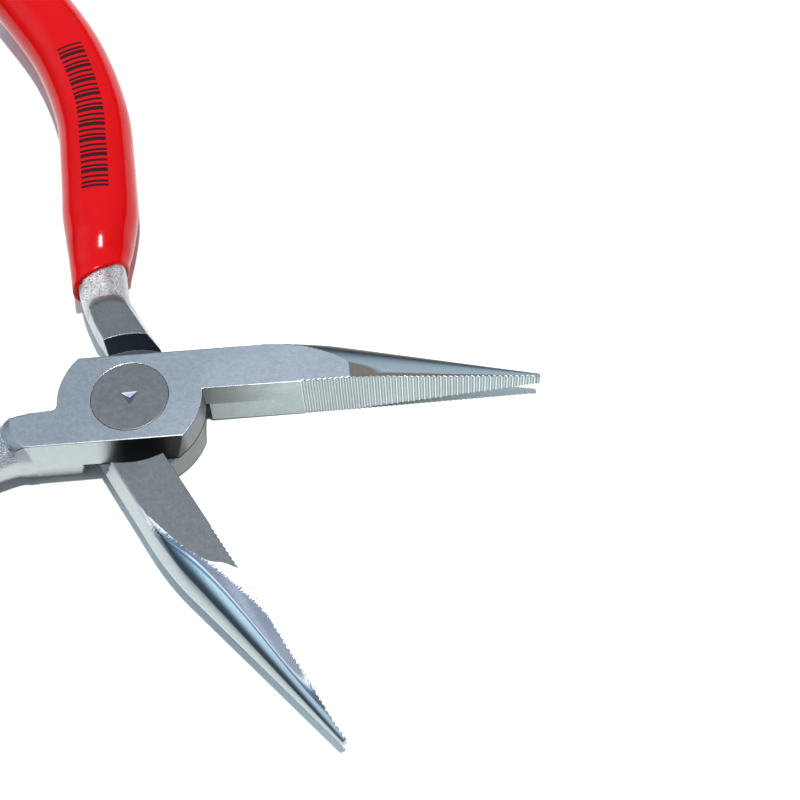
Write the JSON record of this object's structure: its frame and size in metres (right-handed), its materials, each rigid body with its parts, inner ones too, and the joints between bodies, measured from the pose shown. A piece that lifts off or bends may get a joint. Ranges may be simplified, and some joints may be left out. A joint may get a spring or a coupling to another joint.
{
  "type": "half-round nose pliers",
  "caption": "Long half-round nose pliers with a riveted lap joint, toothed gripping faces and bowed handles in red dipped grips.",
  "frame": {"origin": "the rivet's axis where it meets the ground underside of the joint", "axes": "+Z along the rivet's axis, through the joint; +X halves the angle between the open jaws, towards their tips; the jaws open by 61.5 degrees at rest"},
  "size_m": [0.1269, 0.1492, 0.0113],
  "materials": {
    "forged_steel": "satin ground faces, polished jaw backs and bright rough forged necks",
    "rivet_steel": "flush ground, slightly warmer and duller than the head",
    "red_dip": "glossy, thin dipped vinyl"
  },
  "bodies": {
    "upper_half": {"upper_jaw_half": "forged_steel", "upper_grip": "red_dip", "pivot_rivet": "rivet_steel"},
    "lower_half": {"lower_jaw_half": "forged_steel", "lower_grip": "red_dip"}
  },
  "joints": [
    {"name": "jaw_pivot", "type": "hinge", "parent": "upper_half", "child": "lower_half", "pos_m": [0, 0, 0], "axis": [0, 0, 1], "range_deg": [-10, 61.5]}
  ]
}
